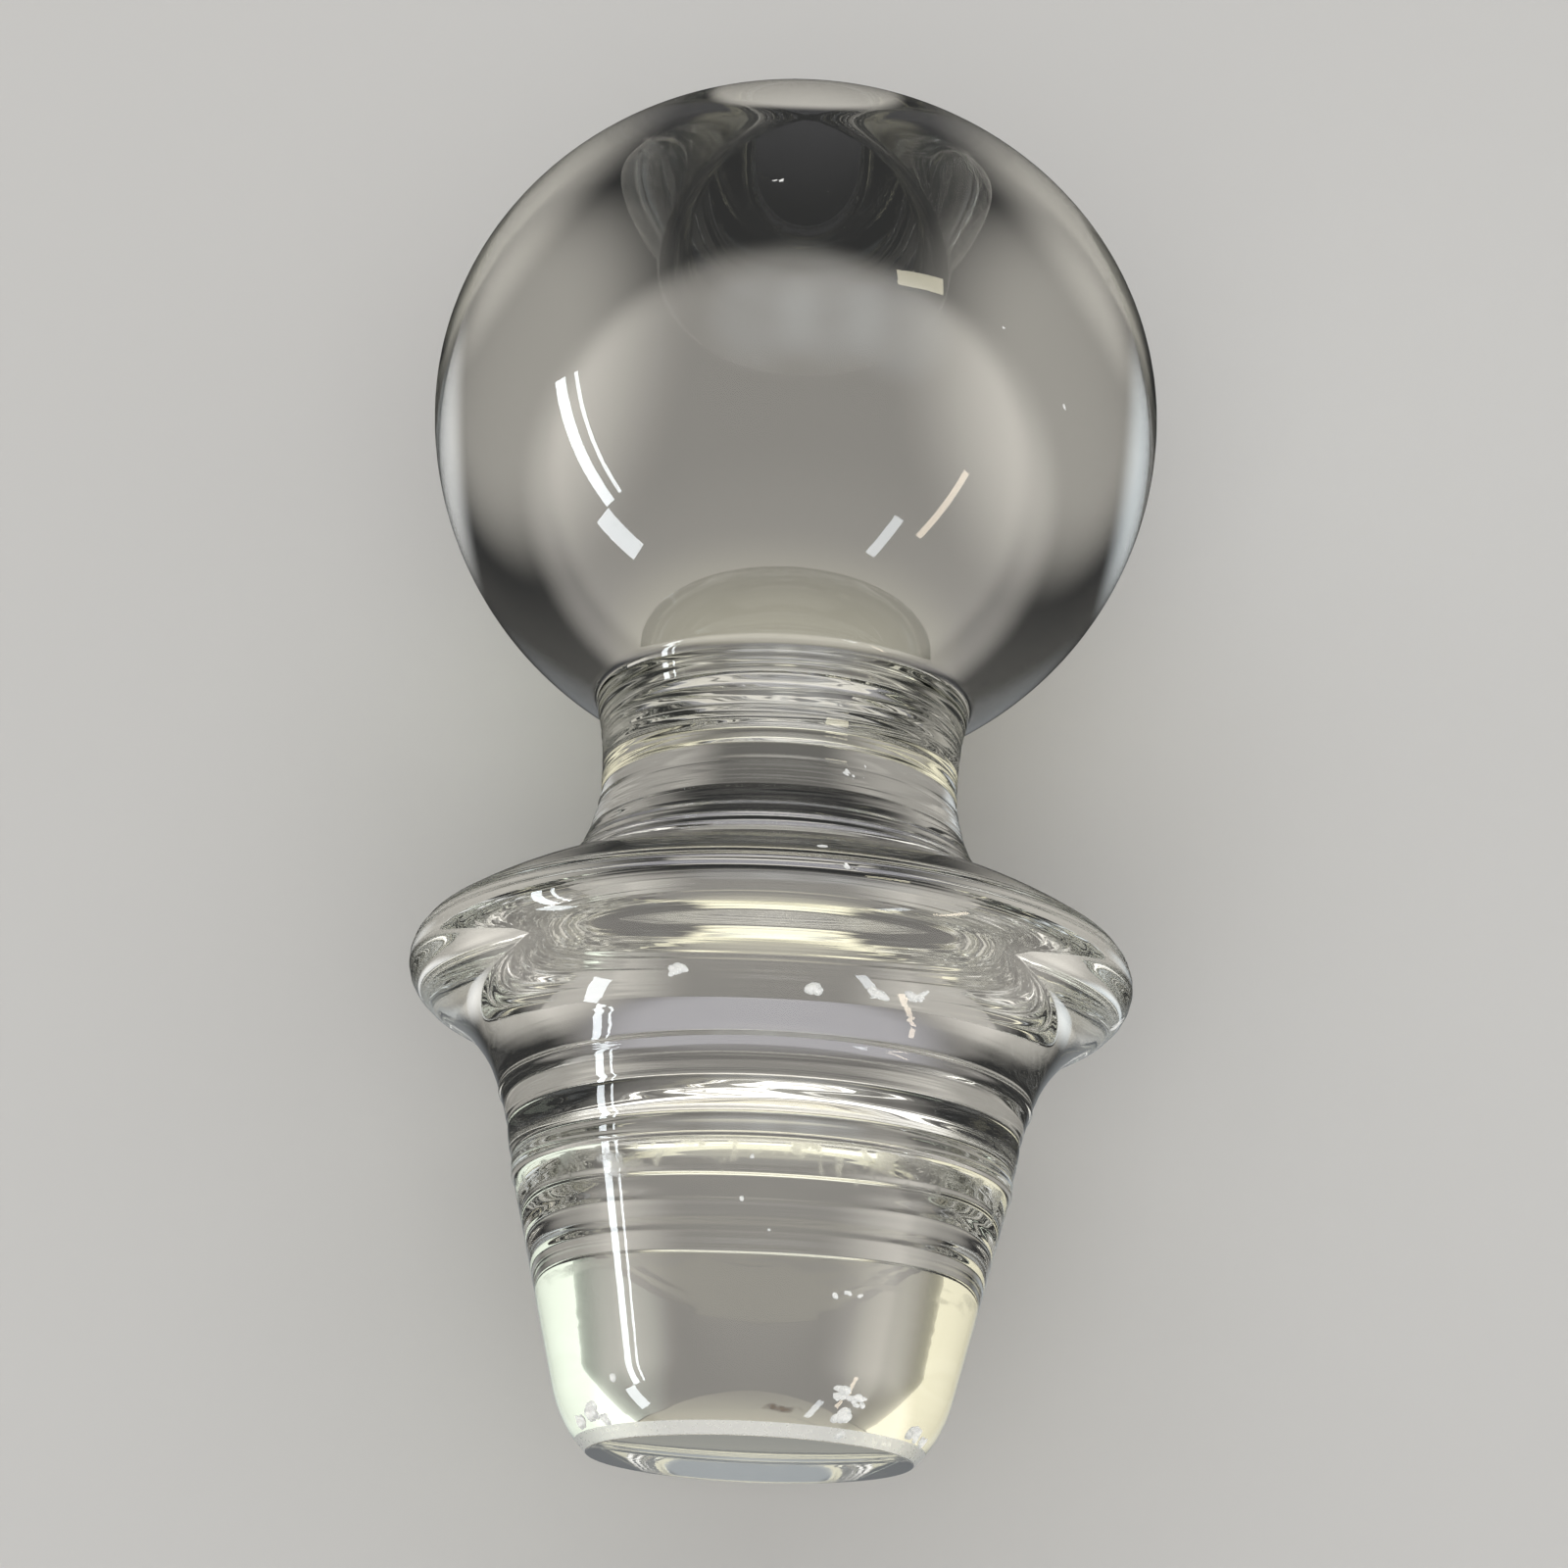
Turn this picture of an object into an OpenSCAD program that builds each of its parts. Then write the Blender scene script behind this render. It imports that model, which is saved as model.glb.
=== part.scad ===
// Clear glass stopper: a solid ball knob on a waisted neck, a lens-shaped collar that caps the bottle's
// mouth, a short cove and a ground taper plug. It is one turned piece, drawn as half an outline that is
// revolved round the upright axis, and it stands on the plug's flat end.

/* [Plug] */
// Diameter of the flat end
end_d = 20.4; // [17:0.1:21]
// Width of the bevel round the flat end
bevel_w = 0.7; // [0.1:0.05:1]
// Height of the bevel
bevel_h = 0.75; // [0.2:0.05:1.5]
// Height at which the straight taper gives way to the rounded nose
nose_h = 4; // [2:0.1:8]
// Diameter that the taper would have at the flat end if it ran on straight
tip_d = 23; // [22.5:0.1:28]
// Diameter at the top of the ground taper
plug_d = 31.6; // [29:0.1:34]
// Length of the ground plug
plug_l = 16.8; // [12:0.1:30]
// Width of the ledge where the grinding stops
ledge_w = 0.15; // [0.05:0.01:0.5]

/* [Cove] */
// Length of the hollowed cove between the plug and the collar's root
cove_l = 7.6; // [4:0.1:14]
// Depth of the cove's hollow
cove_sag = 0.35; // [0.05:0.01:1]
// Diameter of the crease at the collar's root
root_d = 35.7; // [33:0.1:38]

/* [Collar] */
// Diameter over the collar's rim
collar_d = 47; // [43:0.1:54]
// Height of the rim's middle above the root crease
rim_rise = 6.2; // [5:0.1:9]
// Radius of the rounded rim
rim_r = 2.4; // [1:0.1:2.8]
// Radius of the hollow underside
under_r = 9; // [6:0.1:20]
// Radius of the domed upper face
dome_r = 31; // [20:0.5:60]
// Height of the neck's foot above the rim's middle
dome_rise = 6; // [4.5:0.1:8]

/* [Neck] */
// Diameter at the foot, where the neck leaves the collar
foot_d = 28.8; // [25.5:0.1:31]
// Diameter at the waist
waist_d = 23.8; // [20:0.1:24.8]
// Diameter of the crease where the neck meets the knob
crease_d = 25.3; // [25:0.1:30]
// Height of the waist above the foot
waist_rise = 7.6; // [4:0.1:12]
// Height of the crease above the waist
crease_rise = 5.9; // [3:0.1:10]

/* [Knob] */
// Diameter of the knob at its widest
knob_d = 50; // [40:0.5:60]
// Half height of the oval that the knob's lower side follows
knob_drop = 24.6; // [18:0.1:30]
// Height of the knob's crown above its widest ring
knob_rise = 22.8; // [16:0.1:30]

/* [Hidden] */

// Largest turn between two points of a curve, in degrees
curve_step = 3;
$fn = 360 / curve_step;

// Heights above the flat end, from the bottom up
root_z = plug_l + cove_l;
rim_z = root_z + rim_rise;
foot_z = rim_z + dome_rise;
waist_z = foot_z + waist_rise;
crease_z = waist_z + crease_rise;
knob_z = crease_z + knob_drop * sqrt(1 - pow(crease_d / knob_d, 2));

// Corners of the half outline, as [radius, height]
end_edge = [end_d / 2, 0];
bevel_edge = [end_d / 2 + bevel_w, bevel_h];
nose_top = [tip_d / 2 + (plug_d - tip_d) / 2 * nose_h / plug_l, nose_h];
plug_top = [plug_d / 2, plug_l];
cove_low = [plug_d / 2 + ledge_w, plug_l];
root = [root_d / 2, root_z];
rim_centre = [collar_d / 2 - rim_r, rim_z];
foot = [foot_d / 2, foot_z];
waist = [waist_d / 2, waist_z];
crease = [crease_d / 2, crease_z];

// Direction from one point to another, in degrees
function bearing(from, to) = atan2(to.y - from.y, to.x - from.x);

// A vector turned a quarter turn to the right
function right_of(v) = [v.y, -v.x];

// Points along an arc, without its first one: the curve before it ends there
function arc(centre, r, from, to) =
    let (steps = ceil(abs(to - from) / curve_step))
    [for (i = [1:steps]) let (a = from + (to - from) * i / steps) centre + r * [cos(a), sin(a)]];

// An arc on a hollow stretch, whose centre lies outside the glass and which runs past 180 degrees
function hollow(centre, from, to) =
    arc(centre, norm(from - centre), bearing(centre, from) + (from.y < centre.y ? 360 : 0),
        bearing(centre, to) + (to.y < centre.y ? 360 : 0));

// Centre of the arc that leaves a straight line at one point and passes through a second one
function tangent_centre(start, inward, through) =
    let (v = through - start)
    start + inward * (v * v) / (2 * (inward * v));

// Centre of the arc of a given depth that hollows the chord between two points
function sag_centre(low, high, sag) =
    let (v = high - low, half = norm(v) / 2)
    (low + high) / 2 + right_of(v) / norm(v) * (half * half - sag * sag) / (2 * sag);

// Crossing of two circles, on the right of the way from the first centre to the second
function crossing(centre_a, r_a, centre_b, r_b) =
    let (v = centre_b - centre_a, gap = norm(v), along = (gap * gap + r_a * r_a - r_b * r_b) / (2 * gap))
    centre_a + v / gap * along + right_of(v) / gap * sqrt(r_a * r_a - along * along);

// Centre of the arc that stands level with the waist and passes through a point of the neck
function waist_centre(through) =
    let (v = through - waist)
    waist + [(v * v) / (2 * v.x), 0];

// The plug: flat end, bevel, rounded nose and straight ground taper
function plug_outline() =
    let (
        taper = (plug_top - nose_top) / norm(plug_top - nose_top),
        centre = tangent_centre(nose_top, -right_of(taper), bevel_edge)
    )
    concat(
        [[0, 0], end_edge, bevel_edge],
        arc(centre, norm(nose_top - centre), bearing(centre, bevel_edge), bearing(centre, nose_top)),
        [plug_top]
    );

// The cove: a ledge, then a shallow hollow up to the root crease
function cove_outline() =
    concat([cove_low], hollow(sag_centre(cove_low, root, cove_sag), cove_low, root));

// The collar: a hollow underside that flows into the round rim, and a domed upper face that leaves it
function collar_outline() =
    let (
        under_centre = crossing(root, under_r, rim_centre, under_r + rim_r),
        dome_centre = crossing(foot, dome_r, rim_centre, dome_r - rim_r),
        under_end = rim_centre + rim_r * (under_centre - rim_centre) / (under_r + rim_r),
        rim_from = bearing(rim_centre, under_centre),
        rim_to = bearing(dome_centre, rim_centre)
    )
    concat(
        hollow(under_centre, root, under_end),
        arc(rim_centre, rim_r, rim_from, rim_to),
        arc(dome_centre, dome_r, rim_to, bearing(dome_centre, foot))
    );

// The neck: two hollow arcs that meet at the waist
function neck_outline() =
    concat(hollow(waist_centre(foot), foot, waist), hollow(waist_centre(crease), waist, crease));

// The knob: an oval whose lower half is a little longer than its crown
function knob_outline() =
    let (
        from = -acos(crease_d / knob_d),
        steps = ceil((90 - from) / curve_step)
    )
    [for (i = [1:steps])
        let (a = from + (90 - from) * i / steps)
        [knob_d / 2 * cos(a), knob_z + (a < 0 ? knob_drop : knob_rise) * sin(a)]];

module stopper() {
    color("gainsboro", 0.4)
        rotate_extrude()
            polygon(concat(plug_outline(), cove_outline(), collar_outline(), neck_outline(), knob_outline()));
}

stopper();
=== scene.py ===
"""Clear glass stopper with a ball knob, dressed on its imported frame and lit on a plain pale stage."""

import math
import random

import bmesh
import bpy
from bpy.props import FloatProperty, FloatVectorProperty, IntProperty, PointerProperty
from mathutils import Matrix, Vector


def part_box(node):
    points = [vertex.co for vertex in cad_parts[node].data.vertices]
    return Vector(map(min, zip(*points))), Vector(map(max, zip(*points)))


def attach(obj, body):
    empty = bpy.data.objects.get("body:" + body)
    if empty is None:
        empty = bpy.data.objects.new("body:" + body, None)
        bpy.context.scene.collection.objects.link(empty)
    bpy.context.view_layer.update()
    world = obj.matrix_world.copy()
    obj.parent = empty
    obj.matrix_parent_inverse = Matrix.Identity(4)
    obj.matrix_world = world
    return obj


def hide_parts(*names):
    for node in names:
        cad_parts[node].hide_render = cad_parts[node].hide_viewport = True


bl_info = {
    "name": "Ball Knob Glass Stopper",
    "version": (1, 0, 0),
    "blender": (4, 5, 0),
    "location": "3D View > Sidebar > Stopper",
    "description": "Turns a clear glass stopper with tooling rings and chips, and lights it on a plain stage",
    "category": "Object",
}

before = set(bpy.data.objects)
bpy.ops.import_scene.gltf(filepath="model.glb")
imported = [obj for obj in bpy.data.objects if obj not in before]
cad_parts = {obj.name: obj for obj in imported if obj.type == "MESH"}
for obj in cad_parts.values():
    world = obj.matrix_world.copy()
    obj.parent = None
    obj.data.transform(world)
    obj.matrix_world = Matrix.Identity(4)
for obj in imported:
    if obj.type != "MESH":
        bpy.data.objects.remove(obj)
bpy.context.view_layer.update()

NODE = "stopper"
BODY = "root"
PIECE = "stopper_glass"
BROKEN = "broken_glass"

MM = 0.001
PHOTO_SIDE = 1600
SENSOR_WIDTH = 36.0

# Corners of the outline from the flat end up, each of which also names the stretch above it
CORNER_NAMES = ("end", "bevel", "ledge", "cove", "root", "foot", "crease")

# Turn that makes a corner, steps of a rounded corner, and the largest share of a stretch that it takes
CORNER_TURN = math.radians(4.0)
CORNER_STEPS = 6
CORNER_ROOM = 0.45

# Distances between the rings of the turned mesh, which lie closest on the tooled stretches, beside the tool
# marks and within an edge's width of a corner
TOOLED = ("cove", "foot")
FINE_GAP = 0.13 * MM
PLUG_GAP = 0.25 * MM
PLAIN_GAP = 0.65 * MM
EDGE_WIDTH = 0.6 * MM

# Points that lie closer than these are one point: in the solid's outline, and in the turned mesh
SAME_POINT = 0.02 * MM
WELD = 0.001 * MM

# Shares of the tooling rings that show on the plug, on plain glass and between two corners, and the height
# over which the last of these set in
PLUG_SHARE = 0.08
PLAIN_SHARE = 0.03
TOOLED_SHARES = (("ledge", "root", 0.5), ("foot", "crease", 1.0))
SHARE_EDGE = 0.6 * MM

# Tool marks all the way round: height, rise (below zero for a groove) and half width, in millimetres
TOOL_MARKS = (
    (18.1, -0.07, 0.25),
    (19.2, 0.06, 0.70),
    (20.3, -0.05, 0.20),
    (22.4, 0.12, 0.20),
    (31.3, -0.06, 0.18),
    (32.0, -0.06, 0.18),
    (37.4, 0.07, 0.20),
    (38.4, 0.08, 0.20),
    (40.1, -0.08, 0.18),
    (41.9, -0.08, 0.18),
    (43.0, -0.10, 0.35),
    (47.9, -0.05, 0.20),
    (49.0, 0.05, 0.18),
)

# Half widths of a tool mark within which the rings of the mesh lie closest
MARK_REACH = 3.0

# Chips and seeds: azimuth from the camera's side in degrees, height, length, width and depth in millimetres
CHIPS = (
    (-16.0, 26.0, 1.5, 0.8, 0.30),
    (9.0, 25.1, 1.3, 0.9, 0.35),
    (22.0, 25.2, 2.2, 0.7, 0.25),
    (29.0, 25.5, 1.8, 0.7, 0.25),
    (89.0, 28.7, 1.4, 1.8, 0.35),
    (28.0, 2.6, 1.6, 0.9, 0.35),
    (33.0, 2.3, 1.4, 0.8, 0.30),
    (29.0, 1.4, 1.5, 1.2, 0.45),
    (31.0, 0.4, 0.9, 0.6, 0.25),
    (-57.0, 1.7, 1.7, 1.6, 0.50),
    (-66.0, 1.2, 1.8, 1.3, 0.50),
    (-50.0, 1.0, 1.2, 1.0, 0.35),
    (-42.0, 3.2, 0.7, 0.6, 0.20),
    (63.0, 1.3, 1.9, 1.6, 0.60),
    (72.0, 0.9, 1.4, 1.1, 0.45),
    (23.0, 41.4, 2.4, 0.7, 0.12),
    (28.0, 42.0, 1.2, 0.6, 0.10),
    (8.0, 32.8, 0.8, 0.6, 0.15),
    (11.0, 31.3, 0.7, 0.5, 0.15),
    (-3.0, 76.1, 1.6, 0.20, 0.06),
    (31.0, 68.2, 1.3, 0.18, 0.06),
    (46.0, 64.9, 0.9, 0.18, 0.06),
    (21.0, 8.0, 0.5, 0.4, 0.08),
    (24.5, 8.2, 0.6, 0.3, 0.08),
    (28.3, 8.2, 0.6, 0.3, 0.08),
    (-3.4, 13.1, 0.35, 0.35, 0.12),
    (3.2, 11.4, 0.3, 0.3, 0.12),
    (-1.3, 15.5, 0.35, 0.35, 0.12),
)

# A chip longer than this, in millimetres, breaks out in flakes: the share of the chip that one takes, how
# far it slips within the chip, its turn either way in radians, its lift as a share of its depth, and the
# gap between the flakes of one cut
LARGE_CHIP = 1.0
FLAKE_SHARE = (0.45, 0.75)
FLAKE_SLIP = 0.7
FLAKE_TURN = 0.8
FLAKE_LIFT = 0.6
FLAKE_GAP = 0.3 * MM

# Turn between two broken faces from which their ridge is sharp
RIDGE_TURN = math.radians(25.0)

# Colours of polished and of rough glass, and the grains per metre that break up their finishes
POLISHED_COLOUR = (0.985, 0.99, 0.975, 1.0)
ROUGH_COLOUR = (0.97, 0.98, 0.96, 1.0)
FINISH_GRAIN = 450.0
ROUGH_GRAIN = 3500.0

# Levels of the grain between which smudges, frost, the stain and the full roughness set in
SMUDGE_LEVELS = (0.60, 0.78)
FROST_LEVELS = (0.46, 0.60)
STAIN_LEVELS = (0.34, 0.50)
ROUGH_LEVELS = (0.3, 0.7)
LEAST_ROUGH = 0.5

# Depths below the ledge at which the frost starts, is full and begins to thin out
FROST_START = 0.1 * MM
FROST_FULL = 0.4 * MM
FROST_THIN = 0.5 * MM

# Core of the stain, how much longer it is than high, and the depth and radians per metre of its wave
STAIN_CORE = 0.2 * MM
STAIN_SQUEEZE = 5.0
STAIN_WAVE = 0.06 * MM
STAIN_PHASE = 3600.0

# Faces of the flat end stay below this height, where the ground bevel starts
END_SKIN = 0.03 * MM

# Kinds of ray: those that light the paper, those that the glass mirrors and those that pass through it
MATT = "matt"
MIRRORED = "mirrored"
THROUGH = "through"

WHITE = (1.0, 1.0, 1.0)
STONE = (1.0, 0.95, 0.87)
COOL = (0.90, 0.96, 1.0)
WARM = (1.0, 0.86, 0.68)
CREAM = (1.0, 0.94, 0.70)
MINT = (0.92, 1.0, 0.86)
LILAC = (0.92, 0.90, 1.0)

# Soft boxes round the stopper: name, azimuth from the camera's side and elevation in degrees, distance,
# width and height in metres, glow, tone and the rays that meet the box
SOFT_BOXES = (
    ("fill", 0, 47, 0.95, 1.20, 0.80, 1.0, WHITE, (MATT,)),
    ("apron", 0, -25, 0.60, 0.50, 0.40, 1.6, WHITE, (MATT,)),
    ("key", -74, -14, 0.42, 0.030, 0.27, 15.0, COOL, (MIRRORED,)),
    ("key_strip", -68, -14, 0.43, 0.010, 0.27, 15.0, COOL, (MIRRORED,)),
    ("key_low", -80, -39, 0.42, 0.05, 0.10, 12.0, COOL, (MIRRORED,)),
    ("rim", 63, -35, 0.50, 0.02, 0.20, 10.0, WARM, (MIRRORED,)),
    ("rim_low", 50, -52, 0.50, 0.03, 0.12, 9.0, COOL, (MIRRORED,)),
    ("window", 36, 23, 0.60, 0.14, 0.05, 8.0, CREAM, (MIRRORED,)),
)

# Soft glows of the room that the glass shows: azimuth from the camera's side and elevation of the middle,
# angle out to which the glow is even and angle at which it ends, all in degrees, then level, tone and the
# rays that meet the glow
GLOWS = (
    (0, -60, 75, 90, 2.9, STONE, MIRRORED),
    (-10, 6, 4, 20, 1.3, COOL, MIRRORED),
    (10, 7, 4, 20, 1.5, COOL, MIRRORED),
    (30, 6, 4, 20, 1.3, COOL, MIRRORED),
    (180, -10, 20, 30, 0.30, COOL, MIRRORED),
    (180, 32, 25, 29, 0.11, STONE, THROUGH),
    (180, 58, 8, 24, 0.22, CREAM, THROUGH),
    (-140, 12, 12, 30, 0.34, STONE, THROUGH),
    (140, 12, 12, 30, 0.34, STONE, THROUGH),
    (-122, -26, 10, 34, 0.48, STONE, THROUGH),
    (122, -26, 10, 34, 0.48, STONE, THROUGH),
    (180, -42, 12, 15, 0.60, STONE, THROUGH),
    (180, -82, 20, 36, 0.30, LILAC, THROUGH),
    (0, 0, 14, 30, 0.85, STONE, THROUGH),
    (0, 6, 2, 15, 0.90, WHITE, THROUGH),
    (0, 54, 14, 19, 1.10, CREAM, THROUGH),
    (0, 34, 2, 7, 0.60, WARM, THROUGH),
    (0, 75, 4, 12, 0.45, COOL, THROUGH),
    (-42, 20, 14, 20, 1.00, CREAM, THROUGH),
    (42, 20, 14, 20, 1.20, MINT, THROUGH),
    (-100, 8, 8, 26, 1.05, COOL, THROUGH),
    (100, 8, 8, 26, 1.05, WHITE, THROUGH),
)


class StopperGlassProperties(bpy.types.PropertyGroup):
    """Sizes and finish of the glass body"""

    segments: IntProperty(
        name="Segments", description="Steps of the lathe round the axis", default=150, min=24)
    corner_radius: FloatProperty(
        name="Corner radius", description="Fire polish on the corners of the outline",
        default=0.22 * MM, unit="LENGTH")
    crease_radius: FloatProperty(
        name="Crease radius", description="Fire polish where the neck meets the knob",
        default=0.9 * MM, unit="LENGTH")
    ring_depth: FloatProperty(
        name="Ring depth", description="Deepest tooling ring of the neck and the cove",
        default=0.08 * MM, unit="LENGTH")
    ring_pitch: FloatProperty(
        name="Ring pitch", description="Height over which the tooling rings change",
        default=0.48 * MM, unit="LENGTH")
    ring_run: FloatProperty(
        name="Ring run", description="How often a ring fades and returns on its way round",
        default=0.4)
    ring_seed: FloatProperty(
        name="Ring seed", description="Seed of the tooling rings and of the unevenness", default=7.0)
    wobble_depth: FloatProperty(
        name="Wobble depth", description="Unevenness of the hand-worked surface",
        default=0.05 * MM, unit="LENGTH")
    wobble_length: FloatProperty(
        name="Wobble length", description="Width of one swell of the hand-worked surface",
        default=14.0 * MM, unit="LENGTH")
    pole_reach: FloatProperty(
        name="Pole reach", description="Radius round the axis within which the surface evens out",
        default=6.0 * MM, unit="LENGTH")
    bevel_roughness: FloatProperty(
        name="Bevel roughness", description="Roughness of the ground bevel round the flat end", default=0.5)
    bevel_clearness: FloatProperty(
        name="Bevel clearness", description="Share of the light that the ground bevel lets through",
        default=0.5)
    ior: FloatProperty(
        name="Refraction", description="Index of refraction of soda glass", default=1.52)
    tint: FloatVectorProperty(
        name="Tint", description="Colour that thick glass takes", subtype="COLOR", size=3,
        default=(0.90, 0.91, 0.82), min=0.0, max=1.0)
    tint_density: FloatProperty(
        name="Tint density", description="Strength of the tint per metre of glass", default=3.0)


class StopperWearProperties(bpy.types.PropertyGroup):
    """Chips, smudges, frost and stain of the glass"""

    chip_roughness: FloatProperty(
        name="Chip roughness", description="Roughness of the broken faces", default=0.3)
    chip_clearness: FloatProperty(
        name="Chip clearness", description="Share of the light that the broken faces let through",
        default=0.25)
    chip_raggedness: FloatProperty(
        name="Chip raggedness", description="Unevenness of the broken faces",
        default=0.35 * MM, unit="LENGTH")
    chip_grain: FloatProperty(
        name="Chip grain", description="Width of one ridge of the broken faces",
        default=0.5 * MM, unit="LENGTH")
    chip_flakes: IntProperty(
        name="Chip flakes", description="Flakes that broke out of a large chip", default=5, min=1)
    chip_seed: FloatProperty(
        name="Chip seed", description="Seed of the broken faces", default=4.0)
    smudge_roughness: FloatProperty(
        name="Smudge roughness", description="Roughness of the thin smudges", default=0.06)
    frost_roughness: FloatProperty(
        name="Frost roughness", description="Roughness of the frosty patches below the ledge", default=0.22)
    frost_reach: FloatProperty(
        name="Frost reach", description="How far the frosty patches run down from the ledge",
        default=6.5 * MM, unit="LENGTH")
    stain: FloatVectorProperty(
        name="Stain", description="Colour of the brown stain on the nose", subtype="COLOR", size=3,
        default=(0.09, 0.04, 0.015), min=0.0, max=1.0)
    stain_azimuth: FloatProperty(
        name="Stain azimuth", description="Place of the stain round the axis, from the camera's side",
        default=math.radians(10.0), subtype="ANGLE")
    stain_height: FloatProperty(
        name="Stain height", description="Height of the stain above the flat end",
        default=1.5 * MM, unit="LENGTH")
    stain_reach: FloatProperty(
        name="Stain reach", description="How far the stain runs to each side",
        default=3.0 * MM, unit="LENGTH")


class StopperStageProperties(bpy.types.PropertyGroup):
    """Floor, board, lights and camera"""

    paper: FloatVectorProperty(
        name="Paper", description="Colour of the floor and the board", subtype="COLOR", size=3,
        default=(0.60, 0.59, 0.57), min=0.0, max=1.0)
    floor_side: FloatProperty(
        name="Floor side", description="Side of the square floor", default=3.0, unit="LENGTH")
    floor_drop: FloatProperty(
        name="Floor drop", description="Height of the flat end above the floor",
        default=0.15 * MM, unit="LENGTH")
    board_width: FloatProperty(
        name="Board width", description="Width of the board behind the stopper",
        default=0.16, unit="LENGTH")
    board_height: FloatProperty(
        name="Board height", description="Height of the board behind the stopper",
        default=0.18, unit="LENGTH")
    board_middle: FloatProperty(
        name="Board middle", description="Height of the board's middle above the flat end",
        default=55.0 * MM, unit="LENGTH")
    board_gap: FloatProperty(
        name="Board gap", description="Distance between the stopper and the board",
        default=0.2 * MM, unit="LENGTH")
    light_level: FloatProperty(
        name="Light level", description="Brightness of all the soft boxes and glows", default=1.0)
    bounces: IntProperty(
        name="Bounces", description="How often light may bounce on inside the glass", default=24)
    room: FloatProperty(
        name="Room", description="Even light of the room on the paper", default=0.6)
    dusk: FloatProperty(
        name="Dusk", description="Light of the room where the glass shows no glow", default=0.03)
    horizon: FloatVectorProperty(
        name="Horizon", description="Colour of the plain background", subtype="COLOR", size=3,
        default=(0.40, 0.394, 0.384), min=0.0, max=1.0)
    focal_pixels: FloatProperty(
        name="Focal length", description="Focal length in pixels of the square picture", default=3230.0)
    camera_tilt: FloatProperty(
        name="Tilt", description="Angle between the axis and the picture plane",
        default=math.radians(20.096), subtype="ANGLE")
    camera_roll: FloatProperty(
        name="Roll", description="Lean of the axis in the picture",
        default=math.radians(2.542), subtype="ANGLE")
    plug_end: FloatVectorProperty(
        name="Plug end", description="Centre of the flat end, right of, below and ahead of the camera",
        subtype="XYZ", size=3, default=(-2.15 * MM, 41.84 * MM, 195.87 * MM), precision=5)


# Outline of the turned body, as vectors of radius and height


def read_outline():
    """The solid's half outline, from the rim of the flat end up to the crown."""
    places = sorted((v.co.z, math.hypot(v.co.x, v.co.y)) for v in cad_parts[NODE].data.vertices)
    outline = []
    for height, radius in places:
        point = Vector((radius, height))
        if not outline or (point - outline[-1]).length > SAME_POINT:
            outline.append(point)
    return outline


def split_outline(outline):
    """The outline's smooth stretches, parted at its corners, with the flat end as the first one."""
    stretches = [[Vector((0.0, outline[0].y)), outline[0]]]
    stretches.append([outline[0]])
    for before, here, after in zip(outline, outline[1:], outline[2:]):
        stretches[-1].append(here)
        if (here - before).angle(after - here) > CORNER_TURN:
            stretches.append([here])
    stretches[-1].append(outline[-1])
    corners = [stretch[0] for stretch in stretches[1:]]
    if len(corners) != len(CORNER_NAMES):
        raise RuntimeError(f"the outline has {len(corners)} corners, not {len(CORNER_NAMES)}")
    return stretches, dict(zip(CORNER_NAMES, corners))


def smooth_stretch(name, points):
    """The stretch as a smooth curve through its points, with a point for each ring of the mesh."""
    runs = [0.0]
    for a, b in zip(points, points[1:]):
        runs.append(runs[-1] + (b - a).length)
    slopes = []
    for i in range(len(points)):
        low = max(i - 1, 0)
        high = min(i + 1, len(points) - 1)
        slopes.append((points[high] - points[low]) / (runs[high] - runs[low]))
    if len(points) > 2:
        slopes[0] = 2.0 * (points[1] - points[0]) / runs[1] - slopes[1]
        slopes[-1] = 2.0 * (points[-1] - points[-2]) / (runs[-1] - runs[-2]) - slopes[-2]

    def place(run):
        i = max(k for k in range(len(runs) - 1) if runs[k] <= run)
        span = runs[i + 1] - runs[i]
        t = (run - runs[i]) / span
        return ((1 + 2 * t) * (1 - t) ** 2 * points[i] + t * (1 - t) ** 2 * span * slopes[i]
                + t * t * (3 - 2 * t) * points[i + 1] - t * t * (1 - t) * span * slopes[i + 1])

    length = runs[-1]
    stops = [0.0]
    while stops[-1] < length:
        stops.append(stops[-1] + ring_gap(name, place(stops[-1]), min(stops[-1], length - stops[-1])))
    fit = length / stops[-1]
    return [place(run * fit) for run in stops[:-1]] + [points[-1].copy()]


def ring_gap(name, point, from_corner):
    """Distance to the next ring: small on tooled stretches and beside corners, larger on plain ones."""
    near_mark = any(abs(point.y - mark * MM) < MARK_REACH * half * MM for mark, rise, half in TOOL_MARKS)
    if name in TOOLED or near_mark or from_corner < EDGE_WIDTH:
        return FINE_GAP
    return PLUG_GAP if name == "bevel" else PLAIN_GAP


def trim(points, run):
    """The points without those that lie closer than run to the first one, and a new first point there."""
    walked = 0.0
    for i, (a, b) in enumerate(zip(points, points[1:])):
        step = (b - a).length
        if walked + step > run:
            return [a.lerp(b, (run - walked) / step)] + points[i + 1:]
        walked += step
    return points[-1:]


def round_corners(stretches, radii):
    """One outline in which each corner between two stretches is rounded off."""
    outline = stretches[0]
    for stretch, radius in zip(stretches[1:], radii):
        corner = stretch[0]
        turn = (outline[-1] - outline[-2]).angle(stretch[1] - stretch[0])
        reach = radius * math.tan(turn / 2.0)
        room = CORNER_ROOM * min((stretch[-1] - corner).length, (corner - outline[0]).length)
        reach = min(reach, room)
        before = trim(outline[::-1], reach)[::-1]
        after = trim(stretch, reach)
        bend = []
        for k in range(1, CORNER_STEPS):
            t = k / CORNER_STEPS
            bend.append((1 - t) ** 2 * before[-1] + 2 * t * (1 - t) * corner + t * t * after[0])
        outline = before + bend + after
    return outline


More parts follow.
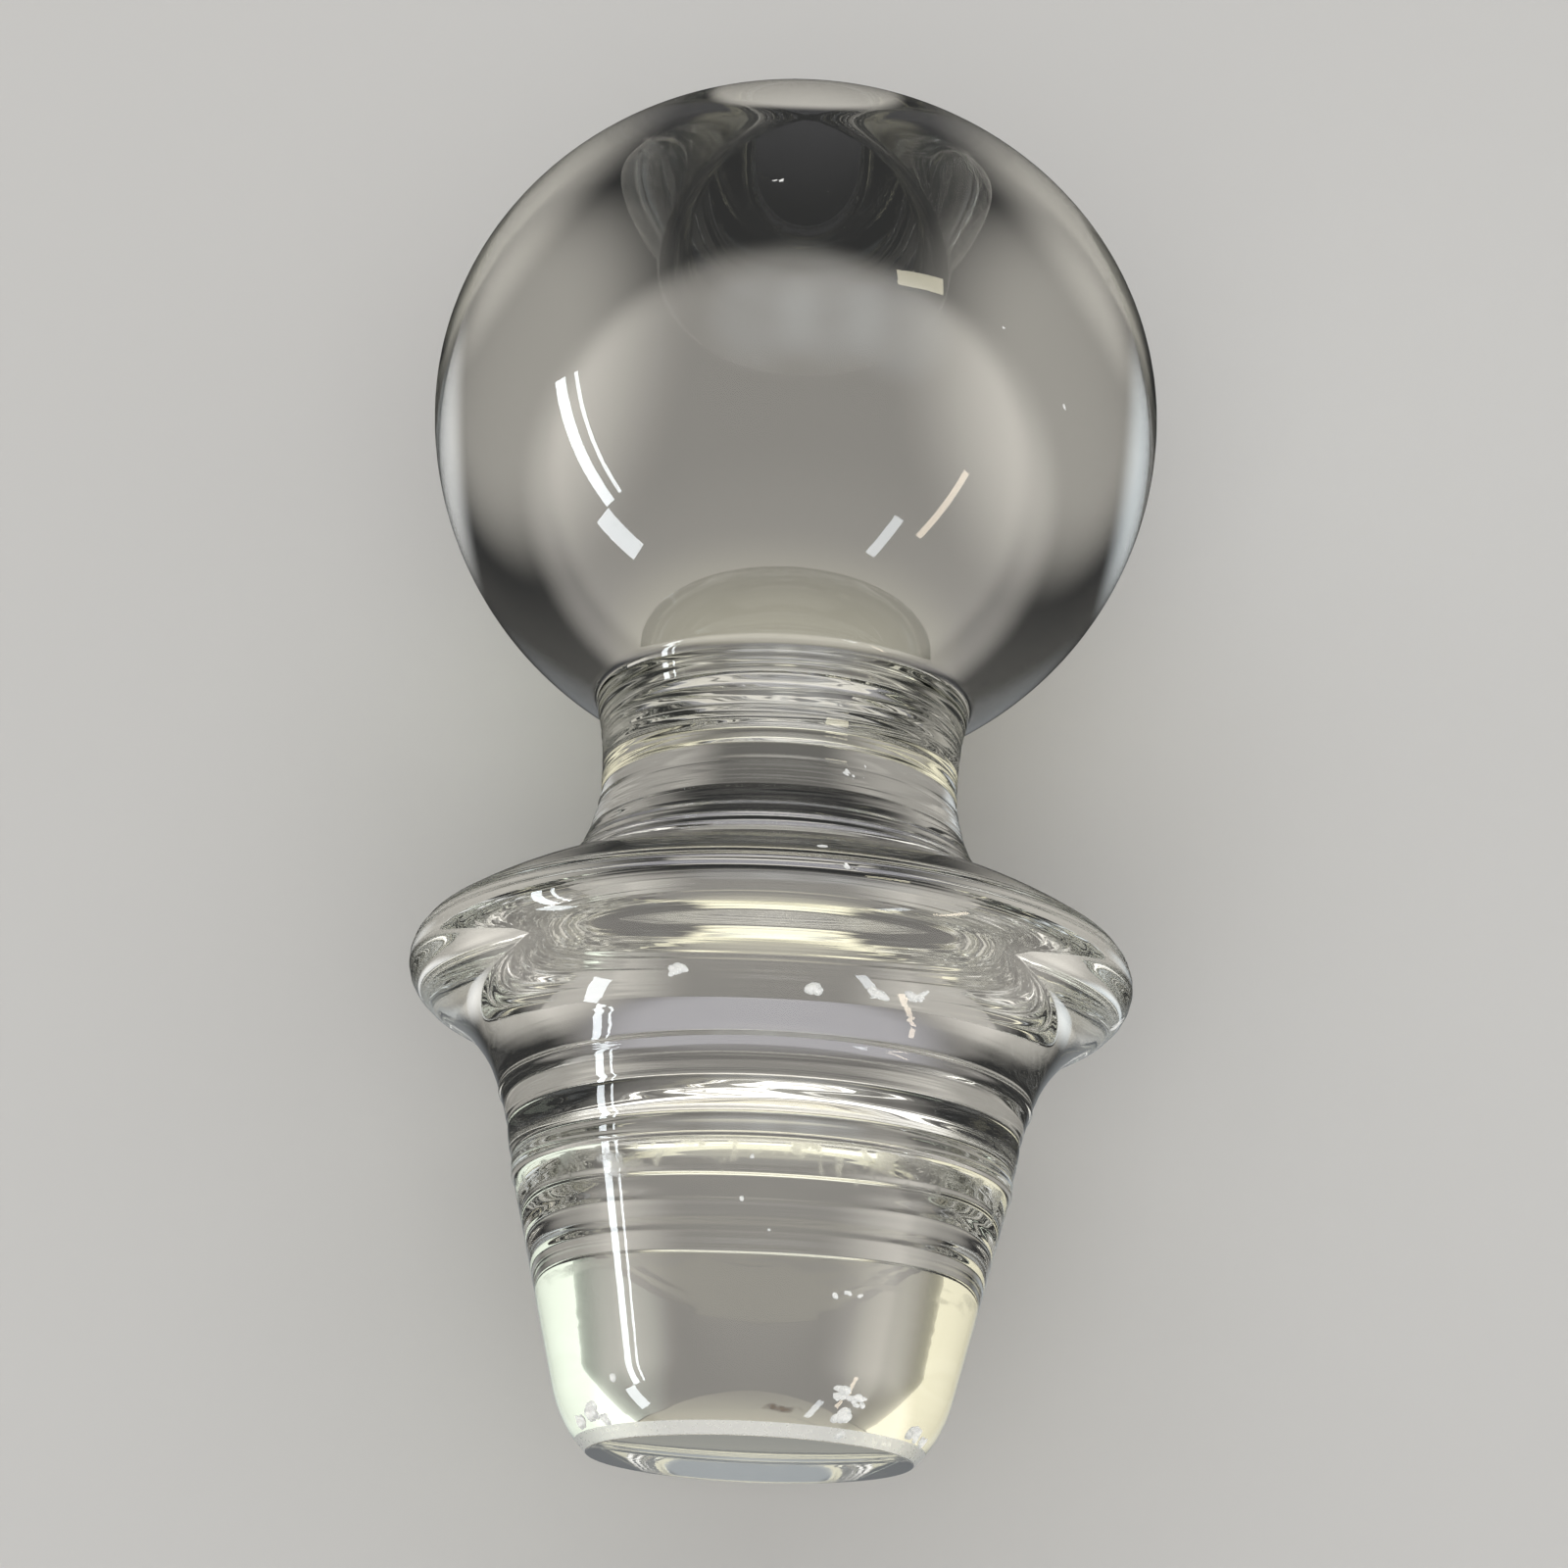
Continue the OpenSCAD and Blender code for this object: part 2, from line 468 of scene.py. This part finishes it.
def tool_rise(height):
    """How far the tool marks stand out of the outline at a height, in metres."""
    marks = ((mark * MM, rise * MM, half * MM) for mark, rise, half in TOOL_MARKS)
    return sum(rise * math.exp(-((height - mark) / half) ** 2) for mark, rise, half in marks)


def tooled_share(height, corners):
    """How much of the tooling rings shows at a height: all on the neck, half on the cove, else little."""
    share = PLUG_SHARE if height < corners["ledge"].y else PLAIN_SHARE
    for low, high, most in TOOLED_SHARES:
        rise = (height - corners[low].y) / SHARE_EDGE
        fall = (corners[high].y - height) / SHARE_EDGE
        share = max(share, min(most, rise, fall))
    return share


# Node trees


class Graph:
    """Adds nodes to one tree and joins them."""

    def __init__(self, tree):
        self.tree = tree

    def node(self, kind, inputs=None, **settings):
        node = self.tree.nodes.new(kind)
        for name, value in settings.items():
            setattr(node, name, value)
        for key, value in (inputs or {}).items():
            self.feed(node.inputs[key], value)
        return node

    def feed(self, socket, value):
        if isinstance(value, bpy.types.NodeSocket):
            self.tree.links.new(value, socket)
        else:
            socket.default_value = value

    def math(self, operation, a, b=0.0, clamp=False):
        node = self.node("ShaderNodeMath", {0: a, 1: b}, operation=operation, use_clamp=clamp)
        return node.outputs[0]

    def vector_math(self, operation, a, b):
        return self.node("ShaderNodeVectorMath", {0: a, 1: b}, operation=operation).outputs[0]

    def scaled(self, vector, factor):
        return self.node("ShaderNodeVectorMath", {0: vector, "Scale": factor}, operation="SCALE").outputs[0]

    def combined(self, x, y, z):
        return self.node("ShaderNodeCombineXYZ", {"X": x, "Y": y, "Z": z}).outputs[0]

    def separated(self, vector):
        return self.node("ShaderNodeSeparateXYZ", {"Vector": vector}).outputs

    def ranged(self, value, low, high, to_low=0.0, to_high=1.0):
        node = self.node("ShaderNodeMapRange", {"Value": value, "From Min": low, "From Max": high,
                                                "To Min": to_low, "To Max": to_high})
        node.interpolation_type = "SMOOTHSTEP"
        return node.outputs[0]

    def noise(self, vector, scale=1.0, detail=2.0, roughness=0.5, seed=0.0):
        shifted = self.vector_math("ADD", vector, self.combined(seed, seed, seed)) if seed else vector
        node = self.node("ShaderNodeTexNoise", {
            "Vector": shifted, "Scale": scale, "Detail": detail, "Roughness": roughness})
        return node.outputs[0]


def geometry_tree(name, inputs):
    """A new geometry tree with the named inputs, as its graph and the sockets of its inputs."""
    tree = bpy.data.node_groups.new(name, "GeometryNodeTree")
    tree.is_modifier = True
    tree.interface.new_socket(name="Geometry", in_out="OUTPUT", socket_type="NodeSocketGeometry")
    for label, kind in inputs:
        tree.interface.new_socket(name=label, in_out="INPUT", socket_type=kind)
    graph = Graph(tree)
    return graph, graph.node("NodeGroupInput").outputs


def close_tree(graph, geometry, material):
    """Ends a geometry tree: instances become mesh and take their material."""
    realized = graph.node("GeometryNodeRealizeInstances", {"Geometry": geometry}).outputs[0]
    painted = graph.node("GeometryNodeSetMaterial", {"Geometry": realized, "Material": material}).outputs[0]
    graph.node("NodeGroupOutput", {"Geometry": painted})


def lathe_tree():
    """Revolves a profile and presses the tooling rings and the swells of hand work into it."""
    graph, given = geometry_tree("stopper_lathe", (
        ("Profile", "NodeSocketGeometry"),
        ("Segments", "NodeSocketInt"),
        ("Ring Depth", "NodeSocketFloat"),
        ("Ring Pitch", "NodeSocketFloat"),
        ("Ring Run", "NodeSocketFloat"),
        ("Ring Seed", "NodeSocketFloat"),
        ("Wobble Depth", "NodeSocketFloat"),
        ("Wobble Length", "NodeSocketFloat"),
        ("Pole Reach", "NodeSocketFloat"),
        ("Glass", "NodeSocketMaterial"),
    ))
    count = graph.node("GeometryNodeAttributeDomainSize", {"Geometry": given["Profile"]})
    rings = count.outputs["Point Count"]
    grid = graph.node("GeometryNodeMeshGrid", {
        "Size X": 1.0, "Size Y": 1.0,
        "Vertices X": graph.math("ADD", given["Segments"], 1.0), "Vertices Y": rings}).outputs["Mesh"]

    # The grid's X runs round the axis and its Y along the profile, each from minus to plus a half
    place = graph.separated(graph.node("GeometryNodeInputPosition").outputs[0])
    angle = graph.math("MULTIPLY", graph.math("ADD", place["X"], 0.5), math.tau)
    last = graph.math("SUBTRACT", rings, 1.0)
    index = graph.math("ROUND", graph.math("MULTIPLY", graph.math("ADD", place["Y"], 0.5), last))

    def sampled(kind, field):
        node = graph.node("GeometryNodeSampleIndex", data_type=kind, domain="POINT")
        graph.feed(node.inputs["Geometry"], given["Profile"])
        graph.feed(node.inputs["Value"], field)
        graph.feed(node.inputs["Index"], index)
        return node.outputs[0]

    flat = sampled("FLOAT_VECTOR", graph.node("GeometryNodeInputPosition").outputs[0])
    share_field = graph.node("GeometryNodeInputNamedAttribute", {"Name": "tooled_share"}, data_type="FLOAT")
    share = sampled("FLOAT", share_field.outputs["Attribute"])
    outward = graph.combined(graph.math("COSINE", angle), graph.math("SINE", angle), 0.0)
    radius = graph.separated(flat)["X"]
    height = graph.separated(flat)["Z"]
    rise = graph.combined(0.0, 0.0, height)
    turned = graph.vector_math("ADD", graph.scaled(outward, radius), rise)

    # Rings change fast along the axis and slowly round it
    layers = graph.combined(0.0, 0.0, graph.math("DIVIDE", height, given["Ring Pitch"]))
    grain = graph.vector_math("ADD", graph.scaled(outward, given["Ring Run"]), layers)
    ring = graph.noise(grain, detail=1.0, roughness=0.6, seed=given["Ring Seed"])
    ring_bite = graph.math("MULTIPLY", graph.math("MULTIPLY", ring, share), given["Ring Depth"])
    swell = graph.noise(graph.scaled(turned, graph.math("DIVIDE", 1.0, given["Wobble Length"])), detail=1.0,
                        seed=given["Ring Seed"])
    swell_bite = graph.math("MULTIPLY", swell, given["Wobble Depth"])
    off_pole = graph.math("DIVIDE", radius, given["Pole Reach"], clamp=True)
    bite = graph.math("MULTIPLY", graph.math("ADD", ring_bite, swell_bite), off_pole)
    pressed = graph.vector_math("SUBTRACT", turned, graph.scaled(outward, bite))

    shaped = graph.node("GeometryNodeSetPosition", {"Geometry": grid, "Position": pressed}).outputs[0]
    merged = graph.node("GeometryNodeMergeByDistance", {"Geometry": shaped, "Distance": WELD}).outputs[0]
    smooth = graph.node("GeometryNodeSetShadeSmooth", {"Geometry": merged, "Shade Smooth": True}).outputs[0]
    close_tree(graph, smooth, given["Glass"])
    return graph.tree


def chip_tree():
    """Sets one ragged ball at each chip, turned and stretched as the chip's attributes say."""
    graph, given = geometry_tree("stopper_chips", (
        ("Places", "NodeSocketGeometry"),
        ("Raggedness", "NodeSocketFloat"),
        ("Grain", "NodeSocketFloat"),
        ("Seed", "NodeSocketFloat"),
        ("Broken Glass", "NodeSocketMaterial"),
    ))
    ball = graph.node("GeometryNodeMeshIcoSphere", {"Radius": 1.0, "Subdivisions": 3}).outputs["Mesh"]
    turn = graph.node("GeometryNodeInputNamedAttribute", {"Name": "turn"}, data_type="FLOAT_VECTOR")
    reach = graph.node("GeometryNodeInputNamedAttribute", {"Name": "reach"}, data_type="FLOAT_VECTOR")
    balls = graph.node("GeometryNodeInstanceOnPoints", {
        "Points": given["Places"], "Instance": ball,
        "Rotation": turn.outputs["Attribute"], "Scale": reach.outputs["Attribute"]}).outputs[0]
    solid = graph.node("GeometryNodeRealizeInstances", {"Geometry": balls}).outputs[0]
    place = graph.node("GeometryNodeInputPosition").outputs[0]
    normal = graph.node("GeometryNodeInputNormal").outputs[0]
    rough = graph.noise(graph.scaled(place, graph.math("DIVIDE", 1.0, given["Grain"])), detail=2.0,
                        seed=given["Seed"])
    swing = graph.math("MULTIPLY", graph.math("SUBTRACT", rough, 0.5), given["Raggedness"])
    offset = graph.scaled(normal, swing)
    ragged = graph.node("GeometryNodeSetPosition", {"Geometry": solid, "Offset": offset}).outputs[0]
    close_tree(graph, ragged, given["Broken Glass"])
    return graph.tree


def grow(piece, tree, values):
    """Runs a geometry tree on a piece and keeps the result as its plain mesh."""
    modifier = piece.modifiers.new(tree.name, "NODES")
    modifier.node_group = tree
    for socket in tree.interface.items_tree:
        if socket.in_out == "INPUT" and socket.name in values:
            modifier[socket.identifier] = values[socket.name]
    keep_result(piece)


def keep_result(piece):
    """Turns what the piece's modifiers make into its plain mesh and removes them."""
    bpy.context.view_layer.update()
    graph = bpy.context.evaluated_depsgraph_get()
    mesh = bpy.data.meshes.new_from_object(piece.evaluated_get(graph), depsgraph=graph)
    old = piece.data
    piece.modifiers.clear()
    piece.data = mesh
    mesh.name = piece.name
    bpy.data.meshes.remove(old)
    for i in reversed(range(len(mesh.materials))):
        if mesh.materials[i] is None:
            mesh.materials.pop(index=i)


def new_piece(name, points, edges=()):
    """A mesh object of loose points and edges, linked to the scene."""
    mesh = bpy.data.meshes.new(name)
    mesh.from_pydata([tuple(p) for p in points], list(edges), [])
    piece = bpy.data.objects.new(name, mesh)
    bpy.context.scene.collection.objects.link(piece)
    return piece


# Materials


def new_material(name):
    """An empty node material, as the material and its graph."""
    material = bpy.data.materials.new(name)
    material.use_nodes = True
    material.node_tree.nodes.clear()
    return material, Graph(material.node_tree)


def clear_glass(glass, wear, corners, outline):
    """Clear, faintly tinted glass with smudges, frosty patches below the ledge and a brown stain."""
    material, graph = new_material("polished_glass")
    place = graph.node("ShaderNodeTexCoord").outputs["Object"]
    height = graph.separated(place)["Z"]

    grain = graph.noise(place, scale=FINISH_GRAIN, detail=3.0, roughness=0.7)

    # Thin smudges over the whole body, and frosty patches on the ground taper below the ledge
    ledge = corners["ledge"].y
    smudges = graph.ranged(grain, *SMUDGE_LEVELS, 0.0, wear.smudge_roughness)
    above = graph.ranged(height, ledge - wear.frost_reach, ledge - FROST_THIN)
    below = graph.ranged(height, ledge - FROST_START, ledge - FROST_FULL)
    frost_level = graph.math("MULTIPLY", graph.math("MULTIPLY", above, below), grain)
    frost = graph.ranged(frost_level, *FROST_LEVELS, 0.0, wear.frost_roughness)
    roughness = graph.math("ADD", smudges, frost)

    # Brown stain on the nose, a wavy line that the grain breaks up
    spot = on_surface(outline, wear.stain_azimuth, wear.stain_height)
    phase = graph.math("MULTIPLY", graph.separated(place)["X"], STAIN_PHASE)
    wave = graph.math("MULTIPLY", graph.math("SINE", phase), STAIN_WAVE)
    from_spot = graph.vector_math("SUBTRACT", place, spot)
    waved = graph.vector_math("ADD", from_spot, graph.combined(0.0, 0.0, wave))
    stretch = graph.vector_math("MULTIPLY", waved, (1.0, 1.0, STAIN_SQUEEZE))
    reach = graph.node("ShaderNodeVectorMath", {0: stretch}, operation="LENGTH").outputs["Value"]
    stain_level = graph.math("MULTIPLY", graph.ranged(reach, wear.stain_reach, STAIN_CORE), grain)
    colour = graph.node("ShaderNodeMix", data_type="RGBA")
    graph.feed(colour.inputs["Factor"], graph.ranged(stain_level, *STAIN_LEVELS))
    graph.feed(colour.inputs["A"], POLISHED_COLOUR)
    graph.feed(colour.inputs["B"], (*wear.stain, 1.0))

    finish_glass(graph, glass, colour.outputs["Result"], roughness, 1.0)
    return material


def rough_glass(name, glass, roughness, clearness):
    """Unpolished faces of the same glass: they scatter light, and so look whitish."""
    material, graph = new_material(name)
    place = graph.node("ShaderNodeTexCoord").outputs["Object"]
    grain = graph.noise(place, scale=ROUGH_GRAIN, detail=2.0, roughness=0.65)
    uneven = graph.ranged(grain, *ROUGH_LEVELS, roughness * LEAST_ROUGH, roughness)
    finish_glass(graph, glass, ROUGH_COLOUR, uneven, clearness)
    return material


def finish_glass(graph, glass, colour, roughness, clearness):
    """Ends a glass material: the shader of its surface, and the tint that the thickness takes."""
    shader = graph.node("ShaderNodeBsdfPrincipled", {
        "Base Color": colour, "Roughness": roughness,
        "IOR": glass.ior, "Transmission Weight": clearness})
    absorb = graph.node("ShaderNodeVolumeAbsorption", {
        "Color": (*glass.tint, 1.0), "Density": glass.tint_density})
    graph.node("ShaderNodeOutputMaterial", {"Surface": shader.outputs[0], "Volume": absorb.outputs[0]})


def pale_paper(stage):
    """Pale matt paper that shows from its front only, so that it hides nothing from behind."""
    material, graph = new_material("pale_paper")
    front = graph.node("ShaderNodeBsdfDiffuse", {"Color": (*stage.paper, 1.0)})
    back = graph.node("ShaderNodeBsdfTransparent")
    side = graph.node("ShaderNodeNewGeometry").outputs["Backfacing"]
    paper = graph.node("ShaderNodeMixShader", {0: side, 1: front.outputs[0], 2: back.outputs[0]})
    graph.node("ShaderNodeOutputMaterial", {"Surface": paper.outputs[0]})
    return material


# Places on the surface


def outline_at(outline, height):
    """The outline's point and its unit tangent at a height above the flat end."""
    for a, b in zip(outline, outline[1:]):
        if a.y <= height <= b.y and b.y > a.y:
            return a.lerp(b, (height - a.y) / (b.y - a.y)), (b - a).normalized()
    raise RuntimeError(f"the outline does not reach the height {height}")


def on_surface(outline, azimuth, height):
    """The point of the surface at an azimuth, from the camera's side towards +X, and a height."""
    point = outline_at(outline, height)[0]
    return Vector((point.x * math.sin(azimuth), -point.x * math.cos(azimuth), point.y))


def surface_frame(outline, azimuth, height):
    """The axes round, up and out of the surface, as the columns of a matrix."""
    tangent = outline_at(outline, height)[1]
    out = Vector((math.sin(azimuth), -math.cos(azimuth), 0.0))
    round_way = Vector((math.cos(azimuth), math.sin(azimuth), 0.0))
    up = tangent.x * out + Vector((0.0, 0.0, tangent.y))
    return Matrix((round_way, up, round_way.cross(up))).transposed()


# Operators


class STOPPER_OT_turn_glass(bpy.types.Operator):
    """Turns the glass body from the solid's outline, with its tooling rings"""

    bl_idname = "stopper.turn_glass"
    bl_label = "Turn the glass"

    def execute(self, context):
        glass = context.scene.stopper_glass
        wear = context.scene.stopper_wear
        outline = read_outline()
        stretches, corners = split_outline(outline)
        names = ("face", *CORNER_NAMES)
        curves = [smooth_stretch(name, stretch) for name, stretch in zip(names, stretches)]
        radii = [glass.crease_radius if name == "crease" else glass.corner_radius for name in CORNER_NAMES]
        profile = round_corners(curves, radii)
        points = [Vector((p.x + tool_rise(p.y), 0.0, p.y)) for p in profile]
        edges = [(i, i + 1) for i in range(len(points) - 1)]
        body = new_piece(PIECE, points, edges)
        shares = body.data.attributes.new("tooled_share", "FLOAT", "POINT")
        shares.data.foreach_set("value", [tooled_share(p.y, corners) for p in profile])
        grow(body, lathe_tree(), {
            "Segments": glass.segments,
            "Ring Depth": glass.ring_depth,
            "Ring Pitch": glass.ring_pitch,
            "Ring Run": glass.ring_run,
            "Ring Seed": glass.ring_seed,
            "Wobble Depth": glass.wobble_depth,
            "Wobble Length": glass.wobble_length,
            "Pole Reach": glass.pole_reach,
            "Glass": clear_glass(glass, wear, corners, outline),
        })
        face_outwards(body)
        ground = rough_glass("ground_glass", glass, glass.bevel_roughness, glass.bevel_clearness)
        body.data.materials.append(ground)
        for face in body.data.polygons:
            if END_SKIN < face.center.z < corners["bevel"].y:
                face.material_index = body.data.materials.find(ground.name)
        return {"FINISHED"}


def face_outwards(piece):
    """Turns the faces of a closed mesh outwards."""
    work = bmesh.new()
    work.from_mesh(piece.data)
    bmesh.ops.recalc_face_normals(work, faces=work.faces)
    if work.calc_volume(signed=True) < 0.0:
        bmesh.ops.reverse_faces(work, faces=work.faces)
    work.to_mesh(piece.data)
    work.free()


class STOPPER_OT_chip_glass(bpy.types.Operator):
    """Bites the chips and seeds out of the glass, and seats the finished glass on the frame"""

    bl_idname = "stopper.chip_glass"
    bl_label = "Chip the glass"

    def execute(self, context):
        glass = context.scene.stopper_glass
        wear = context.scene.stopper_wear
        body = bpy.data.objects[PIECE]
        tree = chip_tree()
        values = {
            "Raggedness": wear.chip_raggedness,
            "Grain": wear.chip_grain,
            "Seed": wear.chip_seed,
            "Broken Glass": rough_glass(BROKEN, glass, wear.chip_roughness, wear.chip_clearness),
        }
        for flakes in part_flakes(scatter_flakes(read_outline(), wear)):
            cutter = new_piece("chip_cutter", [place for place, turn, reach in flakes])
            for name, item in (("turn", 1), ("reach", 2)):
                attribute = cutter.data.attributes.new(name, "FLOAT_VECTOR", "POINT")
                attribute.data.foreach_set("vector", [part for flake in flakes for part in flake[item]])
            grow(cutter, tree, values)
            bite = body.modifiers.new("chips", "BOOLEAN")
            bite.operation = "DIFFERENCE"
            bite.solver = "MANIFOLD"
            bite.material_mode = "TRANSFER"
            bite.object = cutter
            keep_result(body)
            bpy.data.objects.remove(cutter)
        sharpen_chips(body)
        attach(body, BODY)
        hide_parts(NODE)
        return {"FINISHED"}


def scatter_flakes(outline, wear):
    """The flakes that broke out of the chips, as their places, turns and reaches."""
    scatter = random.Random(wear.chip_seed)
    flakes = []
    for degrees, height, length, width, depth in CHIPS:
        azimuth = math.radians(degrees)
        axes = surface_frame(outline, azimuth, height * MM)
        middle = on_surface(outline, azimuth, height * MM)
        count = wear.chip_flakes if length > LARGE_CHIP else 1
        for _ in range(count):
            share = scatter.uniform(*FLAKE_SHARE) if count > 1 else 1.0
            along = scatter.uniform(-FLAKE_SLIP, FLAKE_SLIP) * length
            across = scatter.uniform(-FLAKE_SLIP, FLAKE_SLIP) * width
            slip = (1.0 - share) * Vector((along, across, 0.0))
            lift = FLAKE_LIFT * share * depth
            place = middle + axes @ (slip + Vector((0.0, 0.0, lift))) * MM
            spin = Matrix.Rotation(scatter.uniform(-FLAKE_TURN, FLAKE_TURN), 3, "Z")
            turn = (axes @ spin).to_euler()
            reach = Vector((share * length / 2, share * width / 2, share * depth + lift)) * MM
            flakes.append((place, turn, reach))
    return flakes


def part_flakes(flakes):
    """The flakes in groups, each of flakes that lie apart, so that one cut can take a whole group."""
    groups = []
    for flake in flakes:
        for group in groups:
            if all(lie_apart(flake, other) for other in group):
                group.append(flake)
                break
        else:
            groups.append([flake])
    return groups


def lie_apart(flake, other):
    """Whether two flakes, each as its place, turn and reach, leave a gap between them."""
    return (flake[0] - other[0]).length > max(flake[2]) + max(other[2]) + FLAKE_GAP


def sharpen_chips(piece):
    """Keeps the ridges of the broken glass and the edge round it sharp."""
    broken = piece.data.materials.find(BROKEN)
    work = bmesh.new()
    work.from_mesh(piece.data)
    for edge in work.edges:
        kinds = {face.material_index == broken for face in edge.link_faces}
        edge.smooth = len(kinds) == 1 and (False in kinds or edge.calc_face_angle(0.0) < RIDGE_TURN)
    for face in work.faces:
        face.smooth = True
    work.to_mesh(piece.data)
    work.free()


class STOPPER_OT_set_stage(bpy.types.Operator):
    """Lays the pale floor and board, and sets the soft lights and the camera"""

    bl_idname = "stopper.set_stage"
    bl_label = "Set the stage"

    def execute(self, context):
        stage = context.scene.stopper_stage
        low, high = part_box(NODE)
        middle = (low + high) / 2.0
        paper = pale_paper(stage)
        east, north, up = Matrix.Identity(3)
        below = -stage.floor_drop * up
        floor = add_sheet("floor", paper, below, east, north, stage.floor_side, stage.floor_side)
        behind = Vector((0.0, high.y + stage.board_gap, stage.board_middle))
        board = add_sheet("board", paper, behind, east, up, stage.board_width, stage.board_height)
        floor.visible_shadow = False
        for sheet in (floor, board):
            sheet.visible_diffuse = False
            sheet.visible_glossy = False
            sheet.visible_transmission = False
        for box in SOFT_BOXES:
            add_light(*box, middle, stage.light_level)
        set_world(stage)
        add_camera(stage)
        context.scene.view_settings.view_transform = "Standard"
        light = context.scene.cycles
        light.max_bounces = light.glossy_bounces = light.transmission_bounces = stage.bounces
        return {"FINISHED"}


def add_sheet(name, paper, middle, across, along, width, length):
    """A flat one-sided sheet; its front faces the cross product of its two ways."""
    corners = [middle + across * (sx * width / 2) + along * (sy * length / 2)
               for sx, sy in ((-1, -1), (1, -1), (1, 1), (-1, 1))]
    mesh = bpy.data.meshes.new(name)
    mesh.from_pydata([tuple(c) for c in corners], [], [(0, 1, 2, 3)])
    mesh.materials.append(paper)
    sheet = bpy.data.objects.new(name, mesh)
    bpy.context.scene.collection.objects.link(sheet)
    return sheet


def heading(azimuth, elevation):
    """The unit vector to an azimuth, from the camera's side towards +X, and an elevation, in degrees."""
    turn = math.radians(azimuth)
    rise = math.radians(elevation)
    return Vector((math.sin(turn) * math.cos(rise), -math.cos(turn) * math.cos(rise), math.sin(rise)))


def add_light(name, azimuth, elevation, distance, width, height, glow, tone, rays, middle, level):
    """A soft box that faces the middle of the stopper, and that only the named kinds of ray meet."""
    way = heading(azimuth, elevation)
    light = bpy.data.lights.new(name, "AREA")
    light.shape = "RECTANGLE"
    light.size = width
    light.size_y = height
    light.energy = level * glow * math.pi * width * height
    light.color = tone
    lamp = bpy.data.objects.new(name, light)
    lamp.location = middle + distance * way
    lamp.rotation_euler = (-way).to_track_quat("-Z", "Y").to_euler()
    lamp.visible_camera = False
    lamp.visible_diffuse = MATT in rays
    lamp.visible_glossy = MIRRORED in rays
    lamp.visible_transmission = THROUGH in rays
    bpy.context.scene.collection.objects.link(lamp)


def set_world(stage):
    """A plain pale background, and round it the soft glows that the glass mirrors and lets through."""
    world = bpy.data.worlds.new("studio")
    world.use_nodes = True
    world.cycles.sampling_method = "NONE"
    world.node_tree.nodes.clear()
    graph = Graph(world.node_tree)
    way = graph.node("ShaderNodeTexCoord").outputs["Generated"]
    rays = graph.node("ShaderNodeLightPath").outputs
    through = rays["Is Transmission Ray"]
    met = {THROUGH: through, MIRRORED: graph.math("SUBTRACT", rays["Is Glossy Ray"], through, clamp=True)}
    plain = graph.scaled(tuple(stage.horizon), rays["Is Camera Ray"])
    even_light = graph.ranged(rays["Is Diffuse Ray"], 0.0, 1.0, stage.dusk, stage.room)
    light = graph.vector_math("ADD", plain, graph.scaled(WHITE, even_light))
    for azimuth, elevation, even, end, glow, tone, kind in GLOWS:
        centre = heading(azimuth, elevation)
        towards = graph.node("ShaderNodeVectorMath", {0: way, 1: centre}, operation="DOT_PRODUCT")
        nearness = towards.outputs["Value"]
        level = graph.ranged(nearness, math.cos(math.radians(end)), math.cos(math.radians(even)))
        colour = tuple(stage.light_level * glow * part for part in tone)
        shown = graph.scaled(colour, graph.math("MULTIPLY", level, met[kind]))
        light = graph.vector_math("ADD", light, shown)
    sky = graph.node("ShaderNodeBackground", {"Color": light, "Strength": 1.0})
    graph.node("ShaderNodeOutputWorld", {"Surface": sky.outputs[0]})
    bpy.context.scene.world = world


def add_camera(stage):
    """The camera, placed by how the stopper's axis and flat end lie in the picture."""
    tilt, roll = stage.camera_tilt, stage.camera_roll
    axis = Vector((math.sin(roll) * math.cos(tilt), -math.cos(roll) * math.cos(tilt), math.sin(tilt)))
    across = (Vector((1.0, 0.0, 0.0)) - axis * axis.x).normalized()
    to_frame = Matrix((across, axis.cross(across), axis))
    turn = to_frame @ Matrix.Diagonal((1.0, -1.0, -1.0))
    lens = bpy.data.cameras.new("camera")
    lens.sensor_fit = "HORIZONTAL"
    lens.sensor_width = SENSOR_WIDTH
    lens.lens = SENSOR_WIDTH * stage.focal_pixels / PHOTO_SIDE
    lens.clip_start = 1.0 * MM
    camera = bpy.data.objects.new("camera", lens)
    camera.matrix_world = Matrix.Translation(-(to_frame @ Vector(stage.plug_end))) @ turn.to_4x4()
    bpy.context.scene.collection.objects.link(camera)
    bpy.context.scene.camera = camera


class STOPPER_PT_sidebar(bpy.types.Panel):
    """Sidebar panel with the steps that make the stopper"""

    bl_idname = "STOPPER_PT_sidebar"
    bl_label = "Glass stopper"
    bl_space_type = "VIEW_3D"
    bl_region_type = "UI"
    bl_category = "Stopper"

    def draw(self, context):
        for step in STEPS:
            self.layout.operator(step.bl_idname)


STEPS = (STOPPER_OT_turn_glass, STOPPER_OT_chip_glass, STOPPER_OT_set_stage)
GROUPS = {
    "stopper_glass": StopperGlassProperties,
    "stopper_wear": StopperWearProperties,
    "stopper_stage": StopperStageProperties,
}
CLASSES = (*GROUPS.values(), *STEPS, STOPPER_PT_sidebar)


def register():
    for cls in CLASSES:
        bpy.utils.register_class(cls)
    for name, group in GROUPS.items():
        setattr(bpy.types.Scene, name, PointerProperty(type=group))


def unregister():
    for name in GROUPS:
        delattr(bpy.types.Scene, name)
    for cls in reversed(CLASSES):
        bpy.utils.unregister_class(cls)


def main():
    register()
    bpy.ops.stopper.turn_glass()
    bpy.ops.stopper.chip_glass()
    bpy.ops.stopper.set_stage()


if __name__ == "__main__":
    main()
